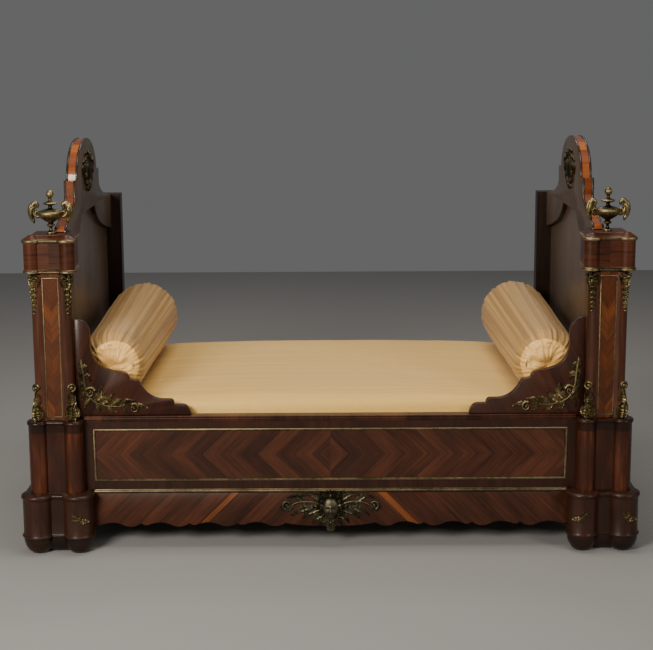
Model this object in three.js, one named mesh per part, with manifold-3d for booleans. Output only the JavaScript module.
import * as THREE from 'three';
import { mergeVertices } from 'three/addons/utils/BufferGeometryUtils.js';
import Module from 'manifold-3d';

// French day bed, in millimetres. X runs along the bed, -Y is its show side, +Z is up.
// The origin lies on the floor under the middle of the bed.

// Overall sizes
const BED_LENGTH = 2200; // over the plinth mouldings at the two ends
const BED_DEPTH = 1313; // from the front of the plinths to the back of the rear posts
const FIT_GAP = 0.3; // clearance between pieces that touch

// Corner posts, from the floor up
const FOOT_HEIGHT = 60;
const PLINTH_HEIGHT = 159;
const PEDESTAL_HEIGHT = 261;
const SHAFT_HEIGHT = 525;
const CAPITAL_HEIGHT = 104;
const CAP_HEIGHT = 28;
const PLINTH_WIDTH = 250;
const PEDESTAL_WIDTH = 193;
const SHAFT_WIDTH = 140;
const CAPITAL_WIDTH = 177;
const CAP_WIDTH = 181;
const POST_DEPTH = 190; // plinth front to the plane where the end boards start
const POST_SIDE_INSET = 9; // sides of a post's block behind its round lobes
const PLINTH_PROUD = 6; // moulding of the plinth beyond its block
const PLINTH_MOULDING = 14; // height of that moulding, down from the plinth's top
const PLINTH_BASE_BAND = 9; // height of the band round its bottom
const PEDESTAL_PROUD = 5;
const PEDESTAL_MOULDING = 13;
const FOOT_TAPER = 38; // how far the padded foot draws in at the floor
const CAP_PROUD = 5; // lip of the cap and of the capital's bottom moulding
const BOLT_RADIUS = 5;
const BOLT_HEAD_RADIUS = 11;
const BOLT_HEIGHT = 345; // height of the bolt axis above the floor
const BOLT_GRIP = 60; // length of bolt inside the rail
const BOLT_HEAD_THICKNESS = 8;
const BOLT_RECESS = 14; // depth of the recess that hides the bolt's head
const BOLT_CLEARANCE = 1; // the hole's radius beyond the bolt's
const PILASTER_WIDTH = 64;
const PILASTER_SETBACK = 4; // pilaster face behind the fronts of the columns
const URN_FORWARD = 69; // urn's axis in front of the back of its post

// Rails
const RAIL_THICKNESS = 35;
const RAIL_SETBACK = 91; // rail face behind the plinth front
const RAIL_TOP = 489;
const TOP_MOULDING = 22;
const BASE_MOULDING = 13;
const MOULDING_PROUD = 9;
const FRAME_BORDER = 31; // rail face left at the ends and below the metal frame
const FRAME_TOP_BORDER = 25; // rail face left above it
const FRAME_WIDTH = 10;
const FRAME_PROUD = 5;
const APRON_LOW = 78; // lowest line of the scallops
const APRON_HIGH = 93; // highest line of the scallops
const APRON_CENTRE = 162; // half width of the middle lobe
const APRON_SCALLOPS = 4; // on each side of the middle lobe
const APRON_THICKNESS = 25;
const APRON_SETBACK = 3; // apron face behind the rail face
const CARTOUCHE_PROUD = 20;
const REAR_RAIL_LOW = 200;
const REAR_RAIL_DROP = 19; // rear rail's top below the front one's
const REAR_RAIL_SETBACK = 16; // rear rail behind the front faces of the rear posts
const REAR_RAIL_THICKNESS = 30;

// End boards
const CREST_INSET = 180; // inner face of the crest behind the end of the bed
const CREST_THICKNESS = 42;
const PANEL_THICKNESS = 14;
const PANEL_RECESS = 21;
const PANEL_TONGUE = 12; // how far the panel enters its grooves
const BASE_RAIL_THICKNESS = 65;
const BASE_RAIL_LOW = 100;
const BASE_RAIL_DROP = 9; // its top below the top of the front rail
const CREST_NOSE = 48; // crest's front tip in front of the back of the post
const CREST_CUSP_RISE = 23; // cusps under the crest, above the cap
const CREST_REAR_DROP = 122; // its lower edge at the rear post, below the cap
const CREST_FRONT_DROP = 85; // its lower edge at the front post, below the cap
const CREST_FLARE = 45; // spread of the sweeps beside the shoulders
const CREST_FLARE_RISE = 50; // height of those sweeps above the cap
const CREST_CUSP_HALF = 160; // the cusps on each side of the middle
const CREST_MOUNT_DEPTH = 15;
const ARCH_HALF_SPAN = 232;
const ARCH_RISE = 136;
const SHOULDER_HALF = 285;
const SHOULDER_RISE = 160; // above the cap
const SHOULDER_DROP = 60;
const REAR_POST_RISE = 24; // rear post above the cap
const REAR_POST_DEPTH = 60;
const REAR_POST_WIDTH = 150;
const REAR_POST_OFFSET = 35; // its middle outside the inner face of the crest

// Wings, measured from the post and up from the top of the rail
const WING_THICKNESS = 28;
const WING_SETBACK = 4; // wing face behind the rail face
const WING_HEIGHT = 349;
const WING_LENGTH = 407;
const WING_SCROLL = 55; // width of the scroll at the top
const WING_SHELF = 158; // height of the step in the middle of the sweep
const WING_SHELF_END = 191;
const WING_TOE = 57; // height of the step at the toe
const WING_TOE_END = 348;
const WING_MOUNT_DEPTH = 12;

// Bedding
const LEDGER_SIZE = 35;
const SLAT_COUNT = 7;
const SLAT_WIDTH = 90;
const SLAT_THICKNESS = 20;
const LEDGER_RISE = 20; // front ledger's bottom above the rear one's
const SPRING_BASE_HEIGHT = 130;
const MATTRESS_HEIGHT = 133;
const BEDDING_GAP = 5; // clearance of the bedding inside the frame
const BOLSTER_RADIUS = 137;
const BOLSTER_END_RADIUS = 98;
const BOLSTER_SHOULDER = 75; // length over which it swells from the end to the full radius
const BOLSTER_DIMPLE = 12; // depth of the gathered middle of each end
const BOLSTER_FRONT_GAP = 26; // between it and the wing
const BOLSTER_REAR_GAP = 74; // between it and the plane of the rear posts
const BOLSTER_POST_GAP = 2; // between it and the shaft

const frontY = -BED_DEPTH / 2;
const postX = BED_LENGTH / 2 - PLINTH_WIDTH / 2 - PLINTH_PROUD;
const postBackY = frontY + PLINTH_PROUD + POST_DEPTH;
const rearPostY = BED_DEPTH / 2 - REAR_POST_DEPTH;
const plinthTop = FOOT_HEIGHT + PLINTH_HEIGHT;
const pedestalTop = plinthTop + PEDESTAL_HEIGHT;
const shaftTop = pedestalTop + SHAFT_HEIGHT;
const capitalTop = shaftTop + CAPITAL_HEIGHT;
const capTop = capitalTop + CAP_HEIGHT;
const railFaceY = frontY + RAIL_SETBACK;
const railBackY = railFaceY + RAIL_THICKNESS;
const crestX = BED_LENGTH / 2 - CREST_INSET;
const panelX = crestX + PANEL_RECESS;
const boardFrontY = postBackY + FIT_GAP;
const boardRearY = rearPostY - FIT_GAP;
const baseRailTop = RAIL_TOP - BASE_RAIL_DROP;
const rearPostX = crestX + REAR_POST_OFFSET;
const rearRailY = rearPostY + REAR_RAIL_SETBACK;
const wingFaceY = railFaceY + WING_SETBACK;
const apronFaceY = railFaceY + APRON_SETBACK;
const mouldingFaceY = railFaceY - MOULDING_PROUD;
const boltFrontY = railFaceY + RAIL_THICKNESS / 2;
const boltRearY = rearPostY + REAR_POST_DEPTH / 2;

const wasm = await Module();
wasm.setup();

// A closed geometry as a solid that can be joined and cut
function toSolid(geometry) {
  geometry.deleteAttribute('normal');
  geometry.deleteAttribute('uv');
  const welded = mergeVertices(geometry, 1e-3);
  const corners = welded.index.array;
  const triangles = [];
  for (let i = 0; i < corners.length; i += 3) {
    const [a, b, c] = corners.slice(i, i + 3);
    if (a !== b && b !== c && c !== a) triangles.push(a, b, c);
  }
  return new wasm.Manifold(new wasm.Mesh({
    numProp: 3,
    vertProperties: welded.attributes.position.array,
    triVerts: new Uint32Array(triangles),
  }));
}

function toGeometry(solid) {
  const mesh = solid.getMesh();
  const geometry = new THREE.BufferGeometry();
  geometry.setAttribute('position', new THREE.BufferAttribute(mesh.vertProperties, 3));
  geometry.setIndex(new THREE.BufferAttribute(mesh.triVerts, 1));
  geometry.computeVertexNormals();
  return geometry;
}

function join(geometries) {
  return toGeometry(geometries.map(toSolid).reduce((whole, piece) => whole.add(piece)));
}

function cut(geometry, tools) {
  return toGeometry(tools.map(toSolid).reduce((whole, tool) => whole.subtract(tool), toSolid(geometry)));
}

function box(x0, x1, y0, y1, z0, z1) {
  const geometry = new THREE.BoxGeometry(x1 - x0, y1 - y0, z1 - z0);
  return geometry.translate((x0 + x1) / 2, (y0 + y1) / 2, (z0 + z1) / 2);
}

// A round piece turned about the vertical axis, from [radius, height] pairs, bottom first
function turned(profile, segments) {
  const points = profile.map(([radius, height]) => new THREE.Vector2(radius, height));
  return new THREE.LatheGeometry(points, segments).rotateX(Math.PI / 2);
}

// A board cut to an outline drawn in X and Z, from its front face y0 to its back face y1
function boardAlongX(shape, y0, y1, bevel = 0) {
  const geometry = new THREE.ExtrudeGeometry(shape, {
    depth: y1 - y0 - 2 * bevel,
    bevelEnabled: bevel > 0,
    bevelThickness: bevel,
    bevelSize: bevel,
    bevelOffset: -bevel,
    bevelSegments: 1,
    curveSegments: 5,
  });
  return geometry.rotateX(Math.PI / 2).translate(0, y1 - bevel, 0);
}

// A board cut to an outline drawn in Y and Z, from x0 to x1
function boardAlongY(points, x0, x1) {
  const shape = new THREE.Shape(points);
  const geometry = new THREE.ExtrudeGeometry(shape, { depth: x1 - x0, bevelEnabled: false });
  const axes = new THREE.Matrix4().makeBasis(
    new THREE.Vector3(0, 1, 0),
    new THREE.Vector3(0, 0, 1),
    new THREE.Vector3(1, 0, 0),
  );
  return geometry.applyMatrix4(axes).translate(x0, 0, 0);
}

function bend(from, through, to, steps = 6) {
  const curve = new THREE.QuadraticBezierCurve(
    new THREE.Vector2(...from),
    new THREE.Vector2(...through),
    new THREE.Vector2(...to),
  );
  return curve.getPoints(steps);
}

// Plan of a post: a block whose two front corners are round lobes, with a flat set back between them.
// The back of the block lies on y = 0.
function postPlan(plan, grow = 0) {
  const radius = plan.lobe + grow;
  const lobeX = plan.width / 2 - plan.lobe;
  const lobeY = -(plan.depth - plan.lobe);
  const sideX = plan.width / 2 - plan.sideInset + grow;
  const sideAngle = Math.acos((sideX - lobeX) / radius);
  const innerAngle = Math.acos((plan.lobe - plan.inset + grow) / radius);
  const shape = new THREE.Shape();
  shape.moveTo(sideX, 0);
  shape.absarc(lobeX, lobeY, radius, sideAngle, -Math.PI / 2 - innerAngle, true);
  shape.absarc(-lobeX, lobeY, radius, -Math.PI / 2 + innerAngle, -Math.PI - sideAngle, true);
  shape.lineTo(-sideX, 0);
  return shape;
}

function postLayer(plan, grow, from, to) {
  const geometry = new THREE.ExtrudeGeometry(postPlan(plan, grow), {
    depth: to - from,
    bevelEnabled: false,
    curveSegments: 4,
  });
  return geometry.translate(0, 0, from);
}

// The five parts of a post have the same kind of plan: lobe is the radius of its round corners and
// inset is how far the flat between them is set back
function planOf({ width, lobe, inset }) {
  const depth = POST_DEPTH - (PLINTH_WIDTH - width) / 2;
  return { width, depth, lobe, inset, sideInset: POST_SIDE_INSET };
}

const plinthPlan = planOf({ width: PLINTH_WIDTH, lobe: 54, inset: 32 });
const pedestalPlan = planOf({ width: PEDESTAL_WIDTH, lobe: 34, inset: 20 });
const shaftPlan = planOf({ width: SHAFT_WIDTH, lobe: 26, inset: 8 });
const capitalPlan = planOf({ width: CAPITAL_WIDTH, lobe: 27, inset: 14 });
const capPlan = planOf({ width: CAP_WIDTH, lobe: 31, inset: 14 });

// The inner side of a post, where a piece whose front lies at pieceY meets a layer of the post
function postSideAt(plan, grow, pieceY) {
  const lobeY = postBackY - plan.depth + plan.lobe;
  const radius = plan.lobe + grow;
  const behind = Math.min(Math.max(0, pieceY - lobeY), radius);
  const lobeReach = plan.width / 2 - plan.lobe + Math.sqrt(radius * radius - behind * behind);
  const blockReach = plan.width / 2 - plan.sideInset + grow;
  return postX - Math.max(lobeReach, blockReach);
}

// Inner faces of the pedestal and the shaft, at the widest, and the half lengths of what meets them
const pedestalSide = postX - PEDESTAL_WIDTH / 2;
const shaftSide = postX - SHAFT_WIDTH / 2;
const railHalf = postSideAt(pedestalPlan, 0, railFaceY) - FIT_GAP;
const topMouldingHalf = postSideAt(pedestalPlan, PEDESTAL_PROUD, mouldingFaceY) - FIT_GAP;

function finish(colour, roughness, metalness = 0) {
  return () => new THREE.MeshStandardMaterial({ color: colour, roughness, metalness });
}

const kingwood = finish(0x4a2a1e, 0.35);
const tulipwood = finish(0x8a4a22, 0.3);
const darkBoard = finish(0x3c332d, 0.5);
const plainWood = finish(0x8b6b45, 0.7);
const giltBronze = finish(0x84713c, 0.45, 0.9);
const iron = finish(0x4b4a48, 0.6, 0.9);
const ticking = finish(0xb9a67f, 0.9);
const silk = finish(0xc6a678, 0.55);

function piece(name, geometry, material, x = 0, y = 0, z = 0) {
  const mesh = new THREE.Mesh(geometry, material());
  mesh.name = name;
  mesh.position.set(x, y, z);
  return mesh;
}

// ---- Corner post, drawn about its own back plane

function footGeometry() {
  const lobeX = PLINTH_WIDTH / 2 - plinthPlan.lobe;
  const lobeY = -(POST_DEPTH - plinthPlan.lobe);
  const bun = [[0, 0]];
  for (const angle of [0, 30, 60, 90]) {
    const turn = THREE.MathUtils.degToRad(angle);
    const radius = plinthPlan.lobe - FOOT_TAPER * (1 - Math.sin(turn));
    bun.push([radius, (FOOT_HEIGHT * 0.85) * (1 - Math.cos(turn))]);
  }
  bun.push([plinthPlan.lobe, FOOT_HEIGHT], [0, FOOT_HEIGHT]);
  const side = PLINTH_WIDTH / 2 - POST_SIDE_INSET;
  const block = new THREE.Shape();
  block.moveTo(-side, FOOT_HEIGHT);
  block.quadraticCurveTo(-side, 0, -side + FOOT_TAPER, 0);
  block.lineTo(side - FOOT_TAPER, 0);
  block.quadraticCurveTo(side, 0, side, FOOT_HEIGHT);
  return join([
    boardAlongX(block, -POST_DEPTH + plinthPlan.inset, 0),
    turned(bun, 16).translate(lobeX, lobeY, 0),
    turned(bun, 16).translate(-lobeX, lobeY, 0),
  ]);
}

function plinthGeometry() {
  const low = FOOT_HEIGHT + FIT_GAP;
  return join([
    postLayer(plinthPlan, 0, low, plinthTop),
    postLayer(plinthPlan, PLINTH_PROUD, low, low + PLINTH_BASE_BAND),
    postLayer(plinthPlan, PLINTH_PROUD, plinthTop - PLINTH_MOULDING, plinthTop - 5),
  ]);
}

// The bolt hole runs through the pedestal, with a recess for the head on the outer side
function boltHole(depth, outer) {
  const shankRadius = BOLT_RADIUS + BOLT_CLEARANCE;
  const headRadius = BOLT_HEAD_RADIUS + 2 * BOLT_CLEARANCE;
  const shank = new THREE.CylinderGeometry(shankRadius, shankRadius, 2 * depth, 12);
  const head = new THREE.CylinderGeometry(headRadius, headRadius, 2 * BOLT_RECESS, 12);
  shank.rotateZ(Math.PI / 2);
  head.rotateZ(Math.PI / 2).translate(outer, 0, 0);
  return [shank, head];
}

function pedestalGeometry() {
  const low = plinthTop + FIT_GAP;
  const block = join([
    postLayer(pedestalPlan, 0, low, pedestalTop - PEDESTAL_MOULDING / 2),
    postLayer(pedestalPlan, PEDESTAL_PROUD, pedestalTop - PEDESTAL_MOULDING, pedestalTop),
  ]);
  const outer = PEDESTAL_WIDTH / 2 - POST_SIDE_INSET;
  const tools = boltHole(PEDESTAL_WIDTH, outer);
  return cut(block, tools.map((tool) => tool.translate(0, boltFrontY - postBackY, BOLT_HEIGHT)));
}

function shaftGeometry() {
  const low = pedestalTop + FIT_GAP;
  const half = PILASTER_WIDTH / 2;
  return join([
    postLayer(shaftPlan, 0, low, shaftTop),
    box(-half, half, -shaftPlan.depth + PILASTER_SETBACK, -half, low, shaftTop),
  ]);
}

function capitalGeometry() {
  const low = shaftTop + FIT_GAP;
  return join([
    postLayer(capitalPlan, CAP_PROUD, low, low + 2 * CAP_PROUD),
    postLayer(capitalPlan, 0, low, capitalTop),
  ]);
}

function capGeometry() {
  const low = capitalTop + FIT_GAP;
  return join([
    postLayer(capPlan, 0, low, low + CAP_HEIGHT / 4),
    postLayer(capPlan, CAP_PROUD, low + CAP_HEIGHT / 5, low + CAP_HEIGHT / 2),
    postLayer(capPlan, -CAP_PROUD + 1, low + CAP_HEIGHT / 3, capTop),
  ]);
}

// ---- Gilt bronze mounts

function urnGeometry() {
  const body = turned([
    [0, 0], [15, 0], [15, 5], [7, 9], [5, 20], [14, 26], [14, 31], [9, 35],
    [26, 44], [42, 60], [45, 70], [38, 76], [12, 84], [8, 92], [24, 104], [8, 112],
    [6, 122], [12, 132], [13, 141], [8, 150], [0, 154],
  ], 12);
  const handles = [-1, 1].map((side) => {
    const path = new THREE.CatmullRomCurve3([
      new THREE.Vector3(side * 30, 0, 62),
      new THREE.Vector3(side * 52, 0, 66),
      new THREE.Vector3(side * 60, 0, 88),
      new THREE.Vector3(side * 68, 0, 80),
      new THREE.Vector3(side * 66, 0, 56),
    ]);
    const section = new THREE.Shape().absarc(0, 0, 7, 0, 2 * Math.PI);
    return new THREE.ExtrudeGeometry(section, { extrudePath: path, steps: 8, curveSegments: 3 });
  });
  return join([body, ...handles]);
}

// A round ball pressed against a post, [x, y, z, radius]
function ball(x, y, z, radius) {
  return new THREE.SphereGeometry(radius, 7, 5).translate(x, y, z);
}

// The column that the mount's back is shaped to
function columnTool(lobeX) {
  const height = 2 * SHAFT_HEIGHT;
  const radius = shaftPlan.lobe + FIT_GAP;
  const column = new THREE.CylinderGeometry(radius, radius, height, 16);
  column.rotateX(Math.PI / 2);
  return column.translate(lobeX, -(shaftPlan.depth - shaftPlan.lobe), pedestalTop + SHAFT_HEIGHT / 2);
}

function columnMount(side, balls) {
  const lobeX = side * (SHAFT_WIDTH / 2 - shaftPlan.lobe);
  const faceY = -shaftPlan.depth;
  const beads = balls.map(([dx, dy, z, radius]) => ball(lobeX + side * dx, faceY + dy, z, radius));
  const half = PILASTER_WIDTH / 2 + 1;
  const pilaster = box(-half, half, -2 * shaftPlan.depth, 0, pedestalTop, shaftTop);
  return cut(join(beads), [columnTool(lobeX), pilaster]);
}

// Flower head and husks that hang from the capital
function upperMountGeometry(side) {
  const top = shaftTop - 4;
  return columnMount(side, [
    [9, -9, top - 17, 17], [6, -7, top - 39, 15], [3, -4, top - 58, 14],
    [1, -2, top - 75, 13], [0, 0, top - 91, 12], [0, 0, top - 108, 11], [0, 0, top - 124, 10],
  ]);
}

// Leaf scroll that stands on the pedestal
function lowerMountGeometry(side) {
  const low = pedestalTop + FIT_GAP;
  return columnMount(side, [
    [9, -9, low + 20, 18], [8, -8, low + 43, 15], [5, -5, low + 61, 14],
    [2, -3, low + 77, 13], [0, 0, low + 91, 12], [0, 0, low + 107, 12], [2, -2, low + 124, 12],
  ]);
}

// ---- End board

// Lower edge of the crest from rear to front: a hollow that rises to a cusp, a straight, and the same
// again down to the front
function crestLowEdge() {
  const cusp = capTop + CREST_CUSP_RISE;
  const half = CREST_CUSP_HALF;
  const hollow = capTop - CREST_REAR_DROP / 2;
  const rear = bend([rearPostY, capTop - CREST_REAR_DROP], [half + CREST_FLARE, hollow], [half, cusp]);
  const front = bend([-half, cusp], [-half - CREST_FLARE, hollow], [postBackY, capTop - CREST_FRONT_DROP]);
  return [...rear, ...front];
}

function crestOutline() {
  const shoulderTop = capTop + SHOULDER_RISE;
  const flareTop = shoulderTop - SHOULDER_DROP;
  const lowEdge = crestLowEdge();
  lowEdge[0].x = boardRearY;
  lowEdge[lowEdge.length - 1].x = boardFrontY;
  const arch = [];
  for (let step = 0; step <= 16; step += 1) {
    const turn = Math.PI * (1 - step / 16);
    const rise = capTop + SHOULDER_RISE + ARCH_RISE * Math.sin(turn);
    arch.push(new THREE.Vector2(ARCH_HALF_SPAN * Math.cos(turn), rise));
  }
  const nose = postBackY - CREST_NOSE;
  const flare = SHOULDER_HALF + CREST_FLARE;
  const flareLow = capTop + CREST_FLARE_RISE;
  return [
    ...lowEdge,
    new THREE.Vector2(boardFrontY, capTop + FIT_GAP),
    new THREE.Vector2(nose, capTop + FIT_GAP),
    new THREE.Vector2(nose + 2, capTop + 12),
    ...bend([nose + 8, capTop + 18], [-flare, flareLow], [-SHOULDER_HALF, flareTop]),
    new THREE.Vector2(-SHOULDER_HALF, shoulderTop),
    ...arch,
    new THREE.Vector2(SHOULDER_HALF, shoulderTop),
    ...bend([SHOULDER_HALF, flareTop], [flare, flareLow], [boardRearY, capTop + REAR_POST_RISE]),
  ];
}

function panelOutline(clearance) {
  const top = crestLowEdge().map((point) => new THREE.Vector2(point.x, point.y + PANEL_TONGUE + clearance));
  top[0].x = boardRearY + clearance;
  top[top.length - 1].x = boardFrontY - clearance;
  const low = baseRailTop - PANEL_TONGUE - clearance;
  return [
    ...top,
    new THREE.Vector2(boardFrontY - clearance, low),
    new THREE.Vector2(boardRearY + clearance, low),
  ];
}

function panelTool() {
  return boardAlongY(panelOutline(1), panelX - FIT_GAP, panelX + PANEL_THICKNESS + FIT_GAP);
}

function crestGeometry() {
  return cut(boardAlongY(crestOutline(), crestX, crestX + CREST_THICKNESS), [panelTool()]);
}

function baseRailGeometry() {
  const outer = crestX + BASE_RAIL_THICKNESS;
  return cut(box(crestX, outer, boardFrontY, boardRearY, BASE_RAIL_LOW, baseRailTop), [panelTool()]);
}

// Leafy cartouche in the middle of the crest, drawn in Y and Z about its own middle
function crestMountGeometry() {
  const outline = [
    ...bend([0, -76], [46, -70], [58, -36], 3),
    ...bend([66, -20], [128, -18], [124, 12], 3),
    ...bend([114, 22], [82, 26], [70, 42], 3),
    ...bend([50, 62], [30, 73], [0, 72], 3),
  ];
  const left = outline.slice(1, -1).reverse().map((point) => new THREE.Vector2(-point.x, point.y));
  return boardAlongY([...outline, ...left], -CREST_MOUNT_DEPTH, 0);
}

// ---- Wing

// Drawn from the post inwards and up from the top of the rail: a scroll at the top, a long hollow down
// to a shelf, a second hollow down to the toe, and the toe
function wingGeometry() {
  const shape = new THREE.Shape();
  const notch = shaftSide - topMouldingHalf - 2 * FIT_GAP;
  shape.moveTo(0, pedestalTop - RAIL_TOP);
  shape.lineTo(0, WING_HEIGHT);
  shape.quadraticCurveTo(WING_SCROLL - 5, WING_HEIGHT, WING_SCROLL, WING_HEIGHT - 53);
  shape.lineTo(WING_SCROLL, WING_HEIGHT - 96);
  shape.quadraticCurveTo(WING_SCROLL + 7, WING_SHELF + 7, WING_SHELF_END - 34, WING_SHELF);
  shape.quadraticCurveTo(WING_SHELF_END - 3, WING_SHELF - 3, WING_SHELF_END, WING_SHELF - 27);
  shape.lineTo(WING_SHELF_END + 31, WING_SHELF - 34);
  shape.quadraticCurveTo(WING_SHELF_END + 59, WING_TOE + 5, WING_TOE_END - 46, WING_TOE);
  shape.lineTo(WING_TOE_END - 14, WING_TOE);
  shape.quadraticCurveTo(WING_TOE_END - 2, WING_TOE - 2, WING_TOE_END, WING_TOE - 19);
  shape.lineTo(WING_LENGTH - 31, WING_TOE - 19);
  shape.quadraticCurveTo(WING_LENGTH - 5, WING_TOE - 21, WING_LENGTH, 0);
  shape.lineTo(notch, 0);
  shape.lineTo(notch, pedestalTop - RAIL_TOP);
  return boardAlongX(shape, 0, WING_THICKNESS);
}

// Leaf spray that follows the sweep of the wing, with one tip by the post and one along the rail
function wingMountGeometry() {
  const shape = new THREE.Shape();
  shape.moveTo(16, 200);
  shape.quadraticCurveTo(26, 56, 62, 28);
  shape.quadraticCurveTo(133, 8, 254, 30);
  shape.quadraticCurveTo(212, 48, 170, 70);
  shape.quadraticCurveTo(118, 96, 82, 114);
  shape.quadraticCurveTo(56, 152, 16, 200);
  return boardAlongX(shape, 0, WING_MOUNT_DEPTH, 3);
}

// ---- One end of the bed, drawn for the +X end

function boltGeometry(length) {
  const profile = [
    [0, 0], [BOLT_RADIUS, 0], [BOLT_RADIUS, length - BOLT_HEAD_THICKNESS],
    [BOLT_HEAD_RADIUS, length - BOLT_HEAD_THICKNESS], [BOLT_HEAD_RADIUS, length], [0, length],
  ];
  return turned(profile, 12).rotateY(Math.PI / 2);
}

function rearPostGeometry() {
  const half = REAR_POST_WIDTH / 2;
  const post = box(-half, half, rearPostY, BED_DEPTH / 2, 0, capTop + REAR_POST_RISE);
  const tools = boltHole(REAR_POST_WIDTH, half);
  return cut(post, tools.map((tool) => tool.translate(0, boltRearY, BOLT_HEIGHT)));
}

// A roll drawn about its own middle, with a shallow dimple in each end and a round shoulder behind it
function bolsterGeometry() {
  const half = (bolsterRearY - bolsterFrontY) / 2;
  const profile = [
    [0, -half + BOLSTER_DIMPLE],
    [BOLSTER_END_RADIUS / 2, -half + BOLSTER_DIMPLE / 3],
  ];
  for (const angle of [0, 25, 50, 75, 90]) {
    const turn = THREE.MathUtils.degToRad(angle);
    const radius = BOLSTER_END_RADIUS + (BOLSTER_RADIUS - BOLSTER_END_RADIUS) * Math.sin(turn);
    profile.push([radius, -half + BOLSTER_SHOULDER * (1 - Math.cos(turn))]);
  }
  const mirrored = profile.slice().reverse().map(([radius, along]) => [radius, -along]);
  const points = [...profile, ...mirrored].map(([radius, along]) => new THREE.Vector2(radius, along));
  return new THREE.LatheGeometry(points, 20);
}

const slatLow = REAR_RAIL_LOW + LEDGER_SIZE + FIT_GAP;
const springLow = slatLow + SLAT_THICKNESS + FIT_GAP;
const mattressLow = springLow + SPRING_BASE_HEIGHT + FIT_GAP;
const mattressTop = mattressLow + MATTRESS_HEIGHT;
const beddingHalf = pedestalSide - BEDDING_GAP;
const beddingFrontY = railBackY + BEDDING_GAP;
const beddingRearY = rearPostY - BEDDING_GAP;
const bolsterX = shaftSide + POST_SIDE_INSET - BOLSTER_POST_GAP - BOLSTER_RADIUS;
const bolsterFrontY = wingFaceY + WING_THICKNESS + BOLSTER_FRONT_GAP;
const bolsterRearY = rearPostY - BOLSTER_REAR_GAP;

function endOfBed(name) {
  const end = new THREE.Group();
  const post = new THREE.Group();
  post.position.set(postX, postBackY, 0);
  post.add(
    piece(`${name}_post_foot`, footGeometry(), kingwood),
    piece(`${name}_post_plinth`, plinthGeometry(), kingwood),
    piece(`${name}_post_pedestal`, pedestalGeometry(), kingwood),
    piece(`${name}_post_shaft`, shaftGeometry(), tulipwood),
    piece(`${name}_post_capital`, capitalGeometry(), kingwood),
    piece(`${name}_post_cap`, capGeometry(), kingwood),
    piece(`${name}_urn`, urnGeometry(), giltBronze, 0, -URN_FORWARD, capTop + FIT_GAP),
  );
  for (const [place, side] of [['inner', -1], ['outer', 1]]) {
    post.add(
      piece(`${name}_upper_mount_${place}`, upperMountGeometry(side), giltBronze),
      piece(`${name}_lower_mount_${place}`, lowerMountGeometry(side), giltBronze),
    );
  }
  const wing = new THREE.Group();
  wing.position.set(shaftSide - FIT_GAP, wingFaceY, RAIL_TOP + FIT_GAP);
  wing.scale.x = -1;
  wing.add(
    piece(`${name}_wing`, wingGeometry(), kingwood),
    piece(`${name}_wing_mount`, wingMountGeometry(), giltBronze, 0, -WING_MOUNT_DEPTH - FIT_GAP, 0),
  );
  // Each bolt starts inside its rail and ends with its head sunk in the outer side of the post
  const sunk = BOLT_RECESS - BOLT_HEAD_THICKNESS;
  const frontBoltX = railHalf - BOLT_GRIP;
  const rearBoltX = rearPostX - REAR_POST_WIDTH / 2 - BOLT_GRIP;
  const frontBolt = boltGeometry(postX + PEDESTAL_WIDTH / 2 - POST_SIDE_INSET - sunk - frontBoltX);
  const rearBolt = boltGeometry(rearPostX + REAR_POST_WIDTH / 2 - sunk - rearBoltX);
  const crestMountZ = capTop + SHOULDER_RISE + 10;
  const bolsterY = (bolsterFrontY + bolsterRearY) / 2;
  end.add(
    post,
    wing,
    piece(`${name}_crest`, crestGeometry(), darkBoard),
    piece(`${name}_panel`, boardAlongY(panelOutline(0), panelX, panelX + PANEL_THICKNESS), darkBoard),
    piece(`${name}_base_rail`, baseRailGeometry(), kingwood),
    piece(`${name}_crest_mount`, crestMountGeometry(), giltBronze, crestX - FIT_GAP, 0, crestMountZ),
    piece(`${name}_rear_post`, rearPostGeometry(), darkBoard, rearPostX),
    piece(`${name}_front_bed_bolt`, frontBolt, iron, frontBoltX, boltFrontY, BOLT_HEIGHT),
    piece(`${name}_rear_bed_bolt`, rearBolt, iron, rearBoltX, boltRearY, BOLT_HEIGHT),
    piece(`${name}_bolster`, bolsterGeometry(), silk, bolsterX, bolsterY, mattressTop + BOLSTER_RADIUS + 1),
  );
  return end;
}

// ---- Long sides and bedding

// A rail with a blind hole in each end for its bolt
function boltedRail(half, y0, y1, z0, z1, boltY) {
  const holes = [-half, half].map((end) => {
    const radius = BOLT_RADIUS + BOLT_CLEARANCE;
    const hole = new THREE.CylinderGeometry(radius, radius, 2 * (BOLT_GRIP + 5), 12);
    return hole.rotateZ(Math.PI / 2).translate(end, boltY, BOLT_HEIGHT);
  });
  return cut(box(-half, half, y0, y1, z0, z1), holes);
}

// Bracket scallops from the middle outwards: a middle lobe, then on each side a row of brackets, each
// a round lobe, a hollow, a small lobe and a cusp
function apronEdge(half) {
  const lobe = APRON_LOW - 12;
  const side = APRON_LOW + 8;
  const hollow = APRON_HIGH + 7;
  const cusp = APRON_HIGH - 3;
  const pitch = (half - APRON_CENTRE) / APRON_SCALLOPS;
  const edge = bend([0, APRON_LOW], [APRON_CENTRE * 0.7, APRON_LOW - 2], [APRON_CENTRE, cusp]);
  for (let i = 0; i < APRON_SCALLOPS; i += 1) {
    const at = (share) => APRON_CENTRE + (i + share) * pitch;
    edge.push(...bend([at(0), cusp], [at(0.2), lobe], [at(0.4), side], 4).slice(1));
    edge.push(...bend([at(0.4), side], [at(0.6), hollow], [at(0.82), side], 4).slice(1));
    edge.push(...bend([at(0.82), side], [at(0.92), APRON_LOW], [at(1), cusp], 3).slice(1));
  }
  return edge;
}

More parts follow.
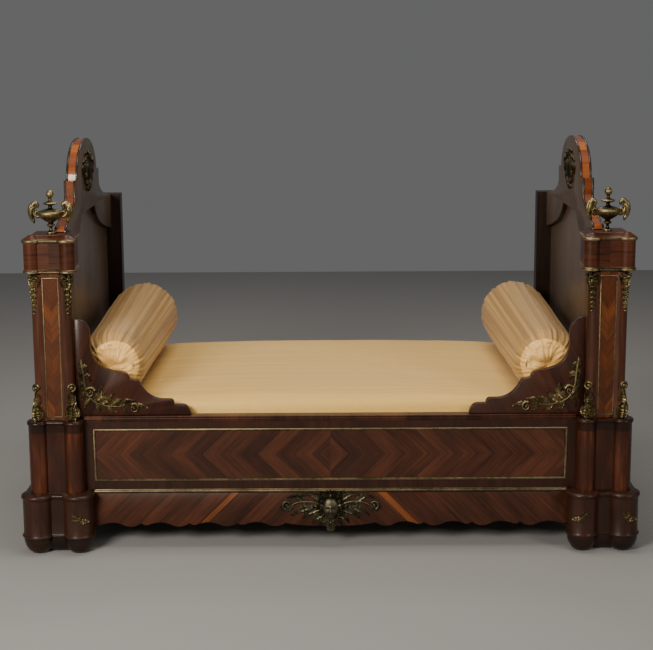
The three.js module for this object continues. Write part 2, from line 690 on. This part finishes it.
function apronGeometry() {
  const half = postSideAt(plinthPlan, 0, apronFaceY) - FIT_GAP;
  const top = plinthTop - PLINTH_MOULDING - FIT_GAP;
  const edge = apronEdge(half);
  const mirrored = edge.slice(1).reverse().map((point) => new THREE.Vector2(-point.x, point.y));
  const outline = [...mirrored, ...edge, new THREE.Vector2(half, top), new THREE.Vector2(-half, top)];
  return boardAlongX(new THREE.Shape(outline), apronFaceY, apronFaceY + APRON_THICKNESS);
}

function frameGeometry() {
  const half = pedestalSide - FRAME_BORDER;
  const low = plinthTop + FRAME_BORDER;
  const high = RAIL_TOP - TOP_MOULDING - FRAME_TOP_BORDER;
  const outer = box(-half, half, railFaceY - FRAME_PROUD, railFaceY - FIT_GAP, low, high);
  const inner = box(
    -half + FRAME_WIDTH, half - FRAME_WIDTH,
    railFaceY - 2 * FRAME_PROUD, railFaceY, low + FRAME_WIDTH, high - FRAME_WIDTH,
  );
  return cut(outer, [inner]);
}

// Mask and leaf wings in the middle of the apron: a pendant point, two spread wings and a head above
function cartoucheGeometry() {
  const shape = new THREE.Shape();
  shape.moveTo(0, 55);
  shape.quadraticCurveTo(34, 70, 60, 86);
  shape.quadraticCurveTo(130, 92, 184, 160);
  shape.quadraticCurveTo(120, 186, 46, 190);
  shape.lineTo(28, 205);
  shape.lineTo(-28, 205);
  shape.lineTo(-46, 190);
  shape.quadraticCurveTo(-120, 186, -184, 160);
  shape.quadraticCurveTo(-130, 92, -60, 86);
  shape.quadraticCurveTo(-34, 70, 0, 55);
  return boardAlongX(shape, railFaceY - CARTOUCHE_PROUD, apronFaceY - FIT_GAP, 4);
}

function slatPieces() {
  const span = beddingHalf - SLAT_WIDTH;
  const slats = [];
  for (let i = 0; i < SLAT_COUNT; i += 1) {
    const x = -span + (2 * span * i) / (SLAT_COUNT - 1);
    const y0 = railBackY + BEDDING_GAP;
    const y1 = rearRailY - BEDDING_GAP;
    const slat = box(-SLAT_WIDTH / 2, SLAT_WIDTH / 2, y0, y1, slatLow, slatLow + SLAT_THICKNESS);
    slats.push(piece(`slat_${i + 1}`, slat, plainWood, x));
  }
  return slats;
}

const rearRailHalf = rearPostX - REAR_POST_WIDTH / 2 - FIT_GAP;
const rearRailBackY = rearRailY + REAR_RAIL_THICKNESS;
const rearRailTop = RAIL_TOP - REAR_RAIL_DROP;
const railLow = plinthTop + FIT_GAP;
const railHigh = RAIL_TOP - TOP_MOULDING - FIT_GAP;
const baseMouldingHalf = postSideAt(plinthPlan, PLINTH_PROUD, mouldingFaceY) - FIT_GAP;
const ledgerHalf = railHalf - 20;
const ledgerLow = REAR_RAIL_LOW;
const ledgerHigh = ledgerLow + LEDGER_SIZE;

const frontRail = boltedRail(railHalf, railFaceY, railBackY, railLow, railHigh, boltFrontY);
const rearRail = boltedRail(rearRailHalf, rearRailY, rearRailBackY, REAR_RAIL_LOW, rearRailTop, boltRearY);
const topMoulding = box(
  -topMouldingHalf, topMouldingHalf, mouldingFaceY, railBackY, RAIL_TOP - TOP_MOULDING, RAIL_TOP,
);
const baseMoulding = box(
  -baseMouldingHalf, baseMouldingHalf, mouldingFaceY, railBackY, plinthTop - BASE_MOULDING, plinthTop,
);
const frontLedger = box(
  -ledgerHalf, ledgerHalf, railBackY + FIT_GAP, railBackY + LEDGER_SIZE,
  ledgerLow + LEDGER_RISE, ledgerHigh,
);
const rearLedger = box(
  -ledgerHalf, ledgerHalf, rearRailY - LEDGER_SIZE, rearRailY - FIT_GAP, ledgerLow, ledgerHigh,
);

// A block of bedding that fills the frame from side to side
function beddingBlock(low, height) {
  return box(-beddingHalf, beddingHalf, beddingFrontY, beddingRearY, low, low + height);
}

const bed = new THREE.Group();
const foot = endOfBed('foot');
const head = endOfBed('head');
head.scale.x = -1;
bed.add(
  foot,
  head,
  piece('front_rail', frontRail, kingwood),
  piece('front_apron', apronGeometry(), kingwood),
  piece('rail_top_moulding', topMoulding, kingwood),
  piece('rail_base_moulding', baseMoulding, giltBronze),
  piece('rail_panel_frame', frameGeometry(), giltBronze),
  piece('apron_cartouche', cartoucheGeometry(), giltBronze),
  piece('rear_rail', rearRail, darkBoard),
  piece('front_ledger', frontLedger, plainWood),
  piece('rear_ledger', rearLedger, plainWood),
  ...slatPieces(),
  piece('spring_base', beddingBlock(springLow, SPRING_BASE_HEIGHT), ticking),
  piece('mattress', beddingBlock(mattressLow, MATTRESS_HEIGHT), silk),
);

export default bed;
